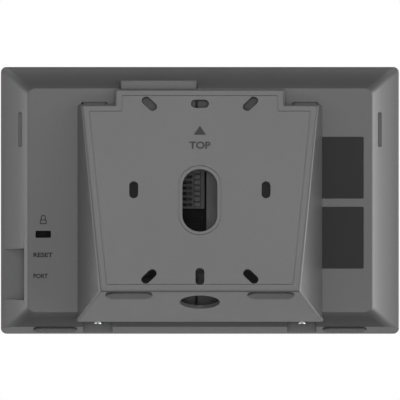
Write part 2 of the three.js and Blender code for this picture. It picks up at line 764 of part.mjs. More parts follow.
function standShell() {
  const outside = standForm(0).intersect(leaned(standSides(0, far), -leanDegrees));
  const inside = block([-far, far], [-far, plateFace - standWall], [footPlane + standWall, far]).intersect(
    leaned(standSides(standWall, far), -leanDegrees),
  );
  const hooks = bothSides((side) =>
    joined([
      block(span(side * hookCentre, hookWidth), [-coverWall - partGap - hookThickness, partGap + 1], stemSpan),
      block(
        span(side * hookCentre, hookWidth),
        [-coverWall - partGap - hookThickness, -coverWall - partGap],
        [stemSpan[0], stemSpan[1] + hookCatch],
      ),
    ]),
  );
  const tabs = bothSides((side) => block(span(side * screwCentre, tabWidth), [-tabReach, -skirtFront + 0.2], tabSpan));
  const aboveFoot = block([-far, far], [-far, far], [footPlane, far]);
  const fastening = leaned(joined([...hooks, ...tabs]), -leanDegrees).intersect(aboveFoot);

  const plateTop = (backTop - plateBelowBack - plateFace * leanSine) / leanCosine;
  const patternMiddle = (plateTop + footPlane) / 2;
  const through = [plateFace - standWall - 1, plateFace + 1];
  const row = slotRowSpacing / 2;
  const diagonal = slotDiagonalSpacing / 2;
  const slots = [
    [-slotSideSpacing / 2, 0, 90],
    [slotSideSpacing / 2, 0, 90],
    [0, row, 0],
    [0, -row, 90],
    [-diagonal, row, 135],
    [diagonal, row, 45],
    [-diagonal, -row, 45],
    [diagonal, -row, 135],
  ].map(([x, z, turn]) => alongY(slot(slotLength, slotWidth, x, patternMiddle + z, turn), through));
  const screwHoles = bothSides((side) =>
    leaned(
      alongZ(circle(screwShank.radius + partGap, side * screwCentre, -screwDepth), [tabSpan[0] - 1, tabSpan[1] + 1]),
      -leanDegrees,
    ),
  );
  const cutters = [
    ...slots,
    ...screwHoles,
    alongY(slot(ovalHole.height, ovalHole.width, 0, patternMiddle - ovalHole.below, 90), through, 10),
    alongZ(circle(skirtHole.radius, 0, plateFace - skirtHole.fromPlate), [footPlane - 1, footPlane + standWall + 1]),
    ...bothSides((side) => alongZ(padShape(side, partGap), [footPlane - 1, footPlane + padSink])),
  ];
  return cut(outside.subtract(inside).add(fastening), cutters);
}

function rearPad(side) {
  const foot = footPlane - footProud;
  return alongZ(padShape(side, 0), [foot, foot + padThickness]);
}

// Slotted screw that runs up the back through the stand's tab into the unit's insert
function standScrew(side) {
  const seat = tabSpan[0] - partGap;
  const x = side * screwCentre;
  const head = alongZ(circle(screwHead.radius, x, -screwDepth), [seat - screwHead.height, seat], 10);
  const shank = alongZ(circle(screwShank.radius, x, -screwDepth), [seat - 0.2, seat + screwShank.length], 8);
  const driverSlot = block(span(x, screwHead.slotWidth), [-far, far], [-far, seat - screwHead.height + screwHead.slotDepth]);
  return joined([head, shank]).subtract(driverSlot);
}

// Materials
function material(color, roughness, metalness = 0) {
  return new THREE.MeshStandardMaterial({ color, roughness, metalness });
}

const casing = material(0x4a4a4b, 0.62);
const standPlastic = material(0x555556, 0.6);
const darkPlastic = material(0x2c2c2d, 0.55);
const glass = material(0x0a0b0d, 0.08);
const steel = material(0xc4c6c8, 0.3, 1);
const brass = material(0xb48a4a, 0.35, 1);
const rubber = material(0x444445, 0.9);
const labelFilm = material(0x2a2a2a, 0.45);
const boardGreen = material(0x1f4a30, 0.55);
const tin = material(0xa9abae, 0.35, 1);
const panelGrey = material(0x15171a, 0.2);
const clearPlastic = material(0xdfe5e6, 0.25);
const blockPlastic = material(0x303031, 0.5);
const buttonPlastic = material(0x3b3b3c, 0.5);
const ribbonFilm = material(0xa8632c, 0.4);

// Assembly: the stand is upright and the unit leans, both about the middle of the unit's back
const part = new THREE.Group();
part.position.set(0, -(plateFace + unitFront) / 2, lift);
const unit = new THREE.Group();
unit.rotation.x = -lean;
part.add(unit);

function addTo(group, name, solid, finish) {
  const mesh = new THREE.Mesh(toGeometry(solid), finish);
  mesh.name = name;
  group.add(mesh);
}

addTo(part, "stand_shell", standShell(), standPlastic);
addTo(unit, "rear_cover", rearCover(), casing);
addTo(unit, "front_frame", frontFrame(), darkPlastic);
addTo(unit, "cover_glass", coverGlass(), glass);
addTo(unit, "lcd_panel", lcdPanel(), panelGrey);
addTo(unit, "light_guide", lightGuide(), clearPlastic);
addTo(unit, "backlight_tray", backlightTray(), tin);
addTo(unit, "main_board", mainBoard(), boardGreen);
addTo(unit, "terminal_block", terminalBlock(), blockPlastic);
addTo(unit, "port_socket", portSocket(), steel);
addTo(unit, "reset_switch", resetSwitch(), blockPlastic);
addTo(unit, "reset_button", resetButton(), buttonPlastic);
addTo(unit, "lock_plate", lockPlate(), steel);
addTo(unit, "shield_can", shieldCan(), tin);
addTo(unit, "processor", processor(), darkPlastic);
addTo(unit, "loudspeaker", loudspeaker(), darkPlastic);
addTo(unit, "antenna_board", antennaBoard(), boardGreen);
addTo(unit, "display_ribbon", displayRibbon(), ribbonFilm);
addTo(unit, "ribbon_socket", ribbonSocket(), darkPlastic);
addTo(unit, "cable_cover_top", channelCover(1), casing);
addTo(unit, "cable_cover_bottom", channelCover(-1), casing);

for (const [name, bottom] of Object.entries(labelBottoms)) {
  addTo(unit, name, label(bottom), labelFilm);
}

for (const [name, side] of [["left", -1], ["right", 1]]) {
  addTo(part, `rear_pad_${name}`, rearPad(side), rubber);
  addTo(unit, `front_pad_${name}`, frontPad(side), rubber);
  addTo(unit, `stand_screw_${name}`, standScrew(side), steel);
  addTo(unit, `screw_insert_${name}`, threadedInsert(side), brass);
}

for (let way = 0; way < wayCount; way += 1) {
  addTo(unit, `terminal_button_${way + 1}`, terminalButton(way), buttonPlastic);
  addTo(unit, `terminal_clamp_${way + 1}`, terminalClamp(way), tin);
}

boardScrews.forEach((place, index) => addTo(unit, `board_screw_${index + 1}`, boardScrew(place), steel));
traySockets.forEach((place, index) => addTo(unit, `tray_screw_${index + 1}`, trayScrew(place), steel));

export default part;
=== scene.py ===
import math

import bmesh
import bpy
from mathutils import Matrix, Vector


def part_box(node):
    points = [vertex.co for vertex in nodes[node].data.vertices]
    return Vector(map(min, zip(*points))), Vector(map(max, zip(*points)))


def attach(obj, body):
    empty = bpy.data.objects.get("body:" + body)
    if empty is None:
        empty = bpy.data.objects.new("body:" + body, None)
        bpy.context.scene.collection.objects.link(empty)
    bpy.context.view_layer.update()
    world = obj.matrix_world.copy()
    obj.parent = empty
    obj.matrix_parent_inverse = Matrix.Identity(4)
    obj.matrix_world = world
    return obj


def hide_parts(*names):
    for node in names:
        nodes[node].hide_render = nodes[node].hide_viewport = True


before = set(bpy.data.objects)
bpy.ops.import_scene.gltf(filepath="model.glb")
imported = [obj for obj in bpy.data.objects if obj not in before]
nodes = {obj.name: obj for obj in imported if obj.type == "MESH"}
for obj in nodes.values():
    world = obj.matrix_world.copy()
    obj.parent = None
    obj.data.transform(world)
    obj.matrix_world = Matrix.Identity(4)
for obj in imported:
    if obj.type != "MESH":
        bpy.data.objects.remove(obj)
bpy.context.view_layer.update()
print("frame loaded")

# The display unit leans on an upright stand. Shapes are drawn in millimetres about the middle of the
# unit's flat back: the unit's in its own axes (X across, Y out of the back, Z up the back), the
# stand's with Z upright.
unitSize = {
    "halfWidth": 91,
    "halfHeight": 61,
    "coverDepth": 17.5,
    "lean": 20,
    "wall": 2,
    "gap": 0.3,
}
shared = {"skirtFront": 1.8, "tabThickness": 2, "screwDepth": 9}  # where the unit and the stand meet
millimetre = 0.001
far = 120  # beyond every face of the object
past = 1  # how far a cutter goes past the face that it opens
hair = 0.01  # keeps two faces out of one plane
weld = 0.001  # points nearer than this are one
sides = (-1, 1)
sharpAngle = 38  # edges that turn more are shaded sharp
edgeAngle = 32  # edges of small parts that turn more are rounded
lean = math.radians(unitSize["lean"])
leanSine = math.sin(lean)
leanCosine = math.cos(lean)
footPlane = unitSize["coverDepth"] * leanSine - unitSize["halfHeight"] * leanCosine
coverLow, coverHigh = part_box("rear_cover")
forward = unitSize["halfHeight"] * leanSine + unitSize["coverDepth"] * leanCosine
downward = unitSize["halfHeight"] * leanCosine + unitSize["coverDepth"] * leanSine
backCentre = Vector((0, coverLow.y + forward * millimetre, coverHigh.z - downward * millimetre))
leanBack = Matrix.Rotation(-lean, 4, "X")
uprightPlace = Matrix.Translation(backCentre) @ Matrix.Scale(millimetre, 4)
unitPlace = uprightPlace @ leanBack
outOfBack = Vector((0, leanCosine, -leanSine))
upBack = Vector((0, leanSine, leanCosine))
skirtEdgeUp = (footPlane - shared["skirtFront"] * leanSine) / leanCosine
notchCeiling = skirtEdgeUp + shared["tabThickness"] + unitSize["gap"]


# Solids

def roundOff(bm, geom, radius, segments, affect="EDGES", **options):
    bmesh.ops.bevel(bm, geom=geom, offset=radius, affect=affect, segments=segments, profile=0.5, material=-1,
                    **options)


def fillOpenings(bm):
    bmesh.ops.holes_fill(bm, edges=[e for e in bm.edges if e.is_boundary])


def bar(x, y, z, radius=0, along="y", segments=8):
    # a block between two places on each axis, its edges along one axis rounded
    bm = bmesh.new()
    bmesh.ops.create_cube(bm, size=1)
    size = Vector((x[1] - x[0], y[1] - y[0], z[1] - z[0]))
    bmesh.ops.scale(bm, vec=size, verts=bm.verts)
    middle = Vector((x[0] + x[1], y[0] + y[1], z[0] + z[1])) / 2
    bmesh.ops.translate(bm, vec=middle, verts=bm.verts)
    if radius:
        axis = "xyz".index(along)
        edges = [e for e in bm.edges if abs((e.verts[1].co - e.verts[0].co)[axis]) > 0.5 * size[axis]]
        roundOff(bm, edges, radius, segments)
    bmesh.ops.remove_doubles(bm, verts=bm.verts, dist=weld)
    return bm


def rod(radius, start, end, segments=32):
    # a round bar from one point to another
    bm = bmesh.new()
    start = Vector(start)
    end = Vector(end)
    bmesh.ops.create_cone(
        bm, cap_ends=True, segments=segments, radius1=radius, radius2=radius, depth=(end - start).length
    )
    turn = Vector((0, 0, 1)).rotation_difference(end - start).to_matrix().to_4x4()
    bm.transform(Matrix.Translation((start + end) / 2) @ turn)
    return bm


def slotBar(length, width, y, middle, degrees=0, segments=10):
    # a bar along Y with round ends, its length turned from X. The rounds stop just short of meeting
    bm = bar(span(0, length), y, span(0, width), 0.999 * width / 2, "y", segments)
    turn = Matrix.Rotation(-math.radians(degrees), 4, "Y")
    bm.transform(Matrix.Translation((middle[0], 0, middle[1])) @ turn)
    return bm


def span(middle, width):
    return middle - width / 2, middle + width / 2


def pick(values, *keys):
    return [values[key] for key in keys]


def prism(points, along, reach, radius=0):
    # an outline of a few points carried along an axis, its corners rounded
    bm = bmesh.new()
    place = {
        "x": lambda a, b: (reach[0], a, b),
        "y": lambda a, b: (a, reach[0], b),
        "z": lambda a, b: (a, b, reach[0]),
    }[along]
    face = bm.faces.new([bm.verts.new(place(a, b)) for a, b in points])
    if radius:
        roundOff(bm, list(bm.verts), radius, 4, "VERTICES")
        face = bm.faces[:][0]
    made = bmesh.ops.extrude_face_region(bm, geom=[face])["geom"]
    step = Vector([reach[1] - reach[0] if axis == along else 0 for axis in "xyz"])
    bmesh.ops.translate(bm, vec=step, verts=[g for g in made if isinstance(g, bmesh.types.BMVert)])
    bmesh.ops.recalc_face_normals(bm, faces=bm.faces)
    return bm


def discard(obj):
    mesh = obj.data
    bpy.data.objects.remove(obj)
    bpy.data.meshes.remove(mesh)


def slicePlanes(bm, planes):
    # keeps what lies behind each plane and closes the cuts
    for place, normal in planes:
        bmesh.ops.bisect_plane(bm, geom=bm.verts[:] + bm.edges[:] + bm.faces[:], dist=weld,
                               plane_co=place, plane_no=normal, clear_outer=True)
        fillOpenings(bm)
    return bm


def padSink(x, middle, pad):
    # the sink under the object that a foot pad sits in
    deep = (footPlane - past, footPlane + pad["sink"])
    return bar(span(x, pad["length"]), span(middle, pad["width"]), deep, 0.99 * pad["width"] / 2, "z")


def asBmesh(obj):
    bm = bmesh.new()
    bm.from_mesh(obj.data)
    discard(obj)
    return bm


def asObject(bm, name="solid"):
    # a new object from a solid, its faces turned outward
    bmesh.ops.recalc_face_normals(bm, faces=bm.faces)
    if bm.calc_volume(signed=True) < 0:
        bmesh.ops.reverse_faces(bm, faces=bm.faces)
    mesh = bpy.data.meshes.new(name)
    bm.to_mesh(mesh)
    bm.free()
    obj = bpy.data.objects.new(name, mesh)
    bpy.context.scene.collection.objects.link(obj)
    return obj


def applyModifiers(obj):
    bpy.context.view_layer.update()
    depsgraph = bpy.context.evaluated_depsgraph_get()
    mesh = bpy.data.meshes.new_from_object(obj.evaluated_get(depsgraph))
    old = obj.data
    obj.modifiers.clear()
    obj.data = mesh
    bpy.data.meshes.remove(old)


def combine(obj, others, operation):
    # joins other shapes to an object, cuts them away or keeps what they share
    tools = [asObject(bm, "tool") for bm in others]
    for tool in tools:
        step = obj.modifiers.new("combine", "BOOLEAN")
        step.operation = operation
        step.solver = "EXACT"
        step.object = tool
    applyModifiers(obj)
    for tool in tools:
        discard(tool)


def roundEdges(obj, width, segments, angle, keep=None):
    # a small round on every edge that turns more than an angle, once near points and flat edges are gone
    bm = bmesh.new()
    bm.from_mesh(obj.data)
    bmesh.ops.remove_doubles(bm, verts=bm.verts, dist=0.02 * width)
    bmesh.ops.dissolve_limit(bm, angle_limit=math.radians(0.5), verts=bm.verts, edges=bm.edges)
    limit = math.radians(angle)
    turning = [e for e in bm.edges if e.is_manifold and e.calc_face_angle(0) > limit]
    edges = [e for e in turning if keep is None or keep(e)]
    roundOff(bm, edges, width, segments, clamp_overlap=True)
    bm.to_mesh(obj.data)
    bm.free()


def finishPiece(obj, name, place, body, finish, replaced=()):
    # gives a finished shape its place, material, shading and body
    obj.name = name
    obj.data.name = name
    obj.data.transform(place)
    obj.data.materials.clear()
    obj.data.materials.append(finishes[finish])
    for face in obj.data.polygons:
        face.use_smooth = True
        face.material_index = 0
    obj.data.set_sharp_from_angle(angle=math.radians(sharpAngle))
    weighted = obj.modifiers.new("weighted", "WEIGHTED_NORMAL")
    weighted.keep_sharp = True
    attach(obj, body)
    if replaced:
        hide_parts(*replaced)


def softened(node, body, finish, width, segments=2, keep=None):
    # a copy of a plain node with its edges rounded, which stands for it
    bm = bmesh.new()
    bm.from_mesh(nodes[node].data)
    bmesh.ops.remove_doubles(bm, verts=bm.verts, dist=weld * millimetre)
    obj = asObject(bm, node)
    roundEdges(obj, width * millimetre, segments, edgeAngle, keep)
    finishPiece(obj, node + "_piece", Matrix.Identity(4), body, finish, [node])


# Shader nodes

def addNode(tree, kind, values=None, **settings):
    node = tree.nodes.new(kind)
    for key, value in settings.items():
        setattr(node, key, value)
    for key, value in (values or {}).items():
        if isinstance(value, bpy.types.NodeSocket):
            tree.links.new(value, node.inputs[key])
        else:
            node.inputs[key].default_value = value
    return node


def noise(tree, vector, scale, detail=2, rough=0.5):
    values = {"Vector": vector, "Scale": scale, "Detail": detail, "Roughness": rough}
    return addNode(tree, "ShaderNodeTexNoise", values).outputs["Fac"]


def remap(tree, value, low, high, toLow=0.0, toHigh=1.0):
    settings = {"Value": value, "From Min": low, "From Max": high, "To Min": toLow, "To Max": toHigh}
    return addNode(tree, "ShaderNodeMapRange", settings).outputs["Result"]


def maths(tree, operation, first, second):
    return addNode(tree, "ShaderNodeMath", {0: first, 1: second}, operation=operation).outputs[0]


# Camera, floor and light

view = {"distance": 4.0, "width": 0.1823, "raise": 0.00022, "aside": -0.00005, "sensor": 36, "reach": 50}


def makeCamera():
    camera = bpy.data.cameras.new("camera")
    camera.sensor_width = view["sensor"]
    camera.lens = camera.sensor_width * view["distance"] / view["width"]
    camera.clip_end = view["reach"]
    obj = bpy.data.objects.new("camera", camera)
    bpy.context.scene.collection.objects.link(obj)
    aim = backCentre + upBack * view["raise"] + Vector((view["aside"], 0, 0))
    facing = Matrix((Vector((-1, 0, 0)), upBack, outOfBack)).transposed().to_4x4()
    obj.matrix_world = Matrix.Translation(aim + outOfBack * view["distance"]) @ facing
    bpy.context.scene.camera = obj


# The studio is white behind the unit, as seen by the camera, with softer panels beside it and little
# above or below. The angles' cosines are taken along the unit's own axes.
studio = {
    "backdrop": 1.0,
    "ambient": 0.13,
    "behind": {"radiance": 1.0, "cosines": (0.3, 0.62), "height": (0.86, 0.6)},
    "beside": {"radiance": 2.7, "cosines": (0.4, 0.8), "height": (0.55, 0.18)},
    "rightShare": 0.32,
    "floor": {"half": 6, "grey": 0.82},
    "lights": {
        "key": {"aim": (0.0, 1.0, 0.0), "away": 1.6, "size": (1.0, 0.8), "power": 6.2},
        "top": {"aim": (0.0, 0.77, 0.64), "away": 1.5, "size": (1.3, 0.42), "power": 8.2},
        "low": {"aim": (0.0, 0.8, -0.6), "away": 1.5, "size": (1.4, 0.18), "power": 5},
    },
}


def chooseShader(tree, mask, first, second, output):
    # sends out one of two shaders, as a mask says
    values = {"Fac": mask, 1: first.outputs[0], 2: second.outputs[0]}
    chosen = addNode(tree, "ShaderNodeMixShader", values).outputs[0]
    addNode(tree, output, {"Surface": chosen})


def makeWorld():
    world = bpy.data.worlds.new("studio")
    world.use_nodes = True
    tree = world.node_tree
    tree.nodes.clear()
    ray = tree.nodes.new("ShaderNodeTexCoord").outputs["Generated"]

    def along(axis):
        node = addNode(tree, "ShaderNodeVectorMath", {0: ray, 1: axis}, operation="DOT_PRODUCT")
        return node.outputs["Value"]

    def smooth(value, low, high):
        node = addNode(tree, "ShaderNodeMapRange", {"Value": value, "From Min": low, "From Max": high},
                       interpolation_type="SMOOTHSTEP")
        return node.outputs["Result"]

    height = maths(tree, "ABSOLUTE", along(upBack), 0)
    right = along((-1, 0, 0))
    behind = maths(tree, "MULTIPLY", smooth(along(-outOfBack), *studio["behind"]["cosines"]),
                   smooth(height, *studio["behind"]["height"]))
    beside = maths(tree, "MULTIPLY", smooth(maths(tree, "ABSOLUTE", right, 0), *studio["beside"]["cosines"]),
                   smooth(height, *studio["beside"]["height"]))
    total = maths(tree, "ADD", maths(tree, "MULTIPLY", behind, studio["behind"]["radiance"]),
                  maths(tree, "MULTIPLY", beside, studio["beside"]["radiance"]))
    tilt = maths(tree, "ADD", maths(tree, "MULTIPLY", right, studio["rightShare"]), 1)
    total = maths(tree, "ADD", maths(tree, "MULTIPLY", total, tilt), studio["ambient"])
    seen = tree.nodes.new("ShaderNodeLightPath").outputs["Is Camera Ray"]
    light = addNode(tree, "ShaderNodeBackground", {"Strength": total, "Color": (1, 1, 1, 1)})
    backdrop = addNode(tree, "ShaderNodeBackground", {"Color": [studio["backdrop"]] * 3 + [1]})
    chooseShader(tree, seen, light, backdrop, "ShaderNodeOutputWorld")
    bpy.context.scene.world = world


def softbox(name, settings):
    light = bpy.data.lights.new(name, "AREA")
    light.shape = "RECTANGLE"
    light.size, light.size_y = settings["size"]
    light.energy = settings["power"]
    obj = bpy.data.objects.new(name, light)
    bpy.context.scene.collection.objects.link(obj)
    across, out, up = settings["aim"]
    direction = (Vector((across, 0, 0)) + outOfBack * out + upBack * up).normalized()
    obj.location = backCentre + direction * settings["away"]
    obj.rotation_euler = direction.to_track_quat("Z", "Y").to_euler()


def makeFloor():
    # the floor shows from above and takes shadows, and the view from below passes through it
    bm = bmesh.new()
    bmesh.ops.create_grid(bm, x_segments=1, y_segments=1, size=studio["floor"]["half"])
    floor = asObject(bm, "floor")
    for face in floor.data.polygons:
        if face.normal.z < 0:
            face.flip()
    material = bpy.data.materials.new("floor")
    material.use_nodes = True
    tree = material.node_tree
    tree.nodes.clear()
    underneath = tree.nodes.new("ShaderNodeNewGeometry").outputs["Backfacing"]
    paint = addNode(tree, "ShaderNodeBsdfDiffuse", {"Color": [studio["floor"]["grey"]] * 3 + [1]})
    clear = tree.nodes.new("ShaderNodeBsdfTransparent")
    chooseShader(tree, underneath, paint, clear, "ShaderNodeOutputMaterial")
    floor.data.materials.append(material)
    for ray in ("diffuse", "glossy", "transmission", "shadow"):
        setattr(floor, f"visible_{ray}", False)


def makeStudio():
    makeCamera()
    makeWorld()
    for name, settings in studio["lights"].items():
        softbox(name, settings)
    makeFloor()
    bpy.context.scene.view_settings.view_transform = "Standard"


makeStudio()
print("camera, floor and light made")


# Shared effects, as node groups

def newGroup(name, inputs, outputs):
    group = bpy.data.node_groups.new(name, "ShaderNodeTree")
    for label, kind, value in inputs:
        group.interface.new_socket(label, in_out="INPUT", socket_type=kind).default_value = value
    for label, kind in outputs:
        group.interface.new_socket(label, in_out="OUTPUT", socket_type=kind)
    return group, group.nodes.new("NodeGroupInput"), group.nodes.new("NodeGroupOutput")


# Scales are in cells to the metre, and depths and heights in metres
grain = {
    "scale": 3200.0,
    "depth": 0.00002,
    "cells": {"scale": 1500, "share": 0.5},
    "slow": {"scale": 160, "share": 0.25},
    "broad": {"scale": 22, "share": 0.2},
    "close": {"scale": 1500, "share": 0.55},
    "mottle": (0.3, 0.7),
    "speck": {"scale": 420, "edge": (0.085, 0.05)},
}
brushing = {
    "scale": 4000.0,
    "depth": 0.000006,
    "line": (0.3, 0.7),
    "stain": {"scale": 260, "edge": (0.4, 0.7)},
}


def cells(tree, vector, scale):
    return addNode(tree, "ShaderNodeTexVoronoi", {"Vector": vector, "Scale": scale}).outputs["Distance"]


def bands(tree, vector, scale, direction, wander=0.0):
    values = {"Vector": vector, "Scale": scale, "Distortion": wander}
    return addNode(tree, "ShaderNodeTexWave", values, bands_direction=direction).outputs["Fac"]


def makeGrain():
    # spark-eroded grain of a moulding: a fine bump, a slow mottle and stray pale specks
    group, given, result = newGroup(
        "moulded grain",
        [("Vector", "NodeSocketVector", (0, 0, 0)), ("Scale", "NodeSocketFloat", grain["scale"]),
         ("Depth", "NodeSocketFloat", grain["depth"])],
        [("Normal", "NodeSocketVector"), ("Mottle", "NodeSocketFloat"), ("Speck", "NodeSocketFloat")],
    )
    vector = given.outputs["Vector"]
    fine = noise(group, vector, given.outputs["Scale"], 2, 0.6)
    clouds = []
    for key, detail, rough in (("slow", 3, 0.55), ("broad", 2, 0.5), ("close", 2, 0.6)):
        layer = noise(group, vector, grain[key]["scale"], detail, rough)
        clouds.append(maths(group, "MULTIPLY", layer, grain[key]["share"]))
    pits = maths(group, "MULTIPLY", cells(group, vector, grain["cells"]["scale"]), grain["cells"]["share"])
    bump = addNode(group, "ShaderNodeBump", {"Height": maths(group, "ADD", fine, pits), "Strength": 1.0,
                                             "Distance": given.outputs["Depth"]})
    mottle = maths(group, "ADD", maths(group, "ADD", clouds[0], clouds[1]), clouds[2])
    speck = remap(group, cells(group, vector, grain["speck"]["scale"]), *grain["speck"]["edge"])
    group.links.new(bump.outputs["Normal"], result.inputs["Normal"])
    group.links.new(remap(group, mottle, *grain["mottle"]), result.inputs["Mottle"])
    group.links.new(speck, result.inputs["Speck"])
    return group


def makeBrushing():
    # fine drawn lines along one direction with a few stains
    group, given, result = newGroup(
        "drawn metal",
        [("Vector", "NodeSocketVector", (0, 0, 0)), ("Stretch", "NodeSocketVector", (1.0, 1.0, 1.0)),
         ("Scale", "NodeSocketFloat", brushing["scale"])],
        [("Normal", "NodeSocketVector"), ("Line", "NodeSocketFloat"), ("Stain", "NodeSocketFloat")],
    )
    stretched = addNode(group, "ShaderNodeVectorMath",
                        {0: given.outputs["Vector"], 1: given.outputs["Stretch"]}, operation="MULTIPLY")
    lines = noise(group, stretched.outputs[0], given.outputs["Scale"], 3, 0.6)
    stain = noise(group, given.outputs["Vector"], brushing["stain"]["scale"], 3, 0.6)
    bump = addNode(group, "ShaderNodeBump", {"Height": lines, "Strength": 1.0, "Distance": brushing["depth"]})
    group.links.new(bump.outputs["Normal"], result.inputs["Normal"])
    group.links.new(remap(group, lines, *brushing["line"]), result.inputs["Line"])
    group.links.new(remap(group, stain, *brushing["stain"]["edge"]), result.inputs["Stain"])
    return group


grainGroup = makeGrain()
brushingGroup = makeBrushing()


# Finishes, each with its colour and roughness

moulding = {"depth": 0.00003, "roughness": (-0.05, 0.05)}
drawing = {"lines": (0.9, 1.08), "stain": 0.75, "roughness": (-0.06, 0.08)}
mouldings = {
    "casing": {"color": (0.066, 0.066, 0.0665), "roughness": 0.4},
    "stand": {"color": (0.07, 0.07, 0.0705), "roughness": 0.36},
    "dark": {"color": (0.022, 0.022, 0.023), "roughness": 0.4},
    "block": {"color": (0.05, 0.05, 0.05), "roughness": 0.5},
    "button": {"color": (0.09, 0.09, 0.09), "roughness": 0.5},
    "ink": {"color": (0.012, 0.012, 0.012), "roughness": 0.6, "specular": 0.2, "speck": 1},
    "plateInk": {"color": (0.035, 0.035, 0.035), "roughness": 0.6, "specular": 0.2, "speck": 1},
    "rubber": {"color": (0.018, 0.018, 0.018), "roughness": 0.44, "scale": 5200, "mottle": 0.1},
}
metals = {
    "steel": {"color": (0.66, 0.67, 0.68), "roughness": 0.3},
    "dark steel": {"color": (0.03, 0.03, 0.032), "roughness": 0.5},
    "tin": {"color": (0.56, 0.57, 0.58), "roughness": 0.34, "stretch": (1, 1, 8), "scale": 500},
    "brass": {"color": (0.62, 0.43, 0.18), "roughness": 0.3, "stretch": (1, 1, 10), "scale": 1200},
}
boardLook = {
    "tracks": {"scale": 190.0, "wander": 0.6, "edge": (0.7, 0.78), "height": 0.00003},
    "patches": {"scale": 130, "edge": (0.495, 0.505)},
    "pads": {"scale": 250, "edge": (0.1, 0.08)},
    "mask": (0.004, 0.0043, 0.0045, 1),
    "track": (0.008, 0.0083, 0.0086, 1),
    "pad": (0.06, 0.05, 0.03, 1),
    "roughness": 0.5,
    "specular": 0.15,
}
glassLook = {
    "active": {"x": (0.0756, 0.0754), "z": (0.0473, 0.0471)},
    "colors": ((0.0035, 0.0035, 0.004, 1), (0.009, 0.0095, 0.0105, 1)),
    "smear": {"scale": 60, "range": (0.3, 0.75), "roughness": (0.05, 0.13)},
    "specular": 0.35,
}
panelLook = {
    "rows": 900.0,
    "colors": ((0.010, 0.011, 0.013, 1), (0.016, 0.018, 0.021, 1)),
    "haze": {"scale": 90, "range": (0.3, 0.7), "roughness": (0.12, 0.22)},
}
clearLook = {
    "dots": {"scale": 900, "edge": (0.3, 0.22), "height": 0.00002},
    "colors": ((0.86, 0.89, 0.9, 1), (0.95, 0.95, 0.95, 1)),
    "roughness": (0.08, 0.45),
    "transmission": 0.85,
    "refraction": 1.49,
}
ribbonLook = {
    "lines": {"scale": 320.0, "edge": (0.45, 0.6)},
    "colors": ((0.36, 0.15, 0.035, 1), (0.55, 0.26, 0.09, 1)),
    "haze": {"scale": 240, "range": (0.3, 0.7), "roughness": (0.28, 0.42)},
}
labelLook = {
    "cloud": {"scale": 75, "range": (0.3, 0.7), "roughness": (0.48, 0.58)},
    "colors": ((0.013, 0.013, 0.0133, 1), (0.017, 0.017, 0.0173, 1)),
    "grain": {"scale": 2600, "height": 0.000012},
    "specular": 0.18,
}


def startMaterial(name, shaderValues):
    material = bpy.data.materials.new(name)
    material.use_nodes = True
    tree = material.node_tree
    shader = tree.nodes["Principled BSDF"]
    for key, value in shaderValues.items():
        shader.inputs[key].default_value = value
    place = tree.nodes.new("ShaderNodeTexCoord").outputs["Object"]
    return material, tree, shader, place


def shade(color, times):
    return [min(1, part * times) for part in color] + [1]


def blendColor(tree, mask, first, second):
    node = tree.nodes.new("ShaderNodeMix")
    node.data_type = "RGBA"
    tree.links.new(mask, node.inputs["Factor"])
    for key, value in (("A", first), ("B", second)):
        socket = [s for s in node.inputs if s.name == key and s.type == "RGBA"][0]
        if isinstance(value, bpy.types.NodeSocket):
            tree.links.new(value, socket)
        else:
            socket.default_value = value
    return [s for s in node.outputs if s.type == "RGBA"][0]


def bumpInto(tree, shader, height, distance):
    bump = addNode(tree, "ShaderNodeBump", {"Height": height, "Distance": distance})
    tree.links.new(bump.outputs["Normal"], shader.inputs["Normal"])


def hazy(tree, shader, place, haze, detail=3, rough=0.5):
    cloud = noise(tree, place, haze["scale"], detail, rough)
    tree.links.new(remap(tree, cloud, *haze["range"], *haze["roughness"]), shader.inputs["Roughness"])


def mouldedPlastic(name, color, roughness, scale=3200, mottle=0.09, specular=0.5, speck=1.25):
    material, tree, shader, place = startMaterial(name, {"Specular IOR Level": specular})
    values = {"Vector": place, "Scale": scale, "Depth": moulding["depth"]}
    surface = addNode(tree, "ShaderNodeGroup", values, node_tree=grainGroup).outputs
    body = blendColor(tree, surface["Mottle"], shade(color, 1 - mottle), shade(color, 1 + mottle))
    flecked = blendColor(tree, surface["Speck"], body, shade(color, speck))
    low, high = (roughness + change for change in moulding["roughness"])
    tree.links.new(flecked, shader.inputs["Base Color"])
    tree.links.new(remap(tree, surface["Mottle"], 0, 1, low, high), shader.inputs["Roughness"])
    tree.links.new(surface["Normal"], shader.inputs["Normal"])
    return material


def drawnMetal(name, color, roughness, stretch=(1, 1, 12), scale=900):
    material, tree, shader, place = startMaterial(name, {"Metallic": 1.0})
    values = {"Vector": place, "Stretch": stretch, "Scale": scale}
    drawn = addNode(tree, "ShaderNodeGroup", values, node_tree=brushingGroup).outputs
    lined = blendColor(tree, drawn["Line"], *(shade(color, times) for times in drawing["lines"]))
    stained = blendColor(tree, drawn["Stain"], lined, shade(color, drawing["stain"]))
    low, high = (roughness + change for change in drawing["roughness"])
    tree.links.new(stained, shader.inputs["Base Color"])
    tree.links.new(remap(tree, drawn["Line"], 0, 1, low, high), shader.inputs["Roughness"])
    tree.links.new(drawn["Normal"], shader.inputs["Normal"])
    return material


def unitCoordinates(tree, place):
    # object coordinates turned and centred on the leaning unit, in metres
    moved = -(Matrix.Rotation(lean, 3, "X") @ backCentre)
    values = {"Vector": place, "Rotation": (lean, 0, 0), "Location": moved}
    return addNode(tree, "ShaderNodeMapping", values).outputs["Vector"]


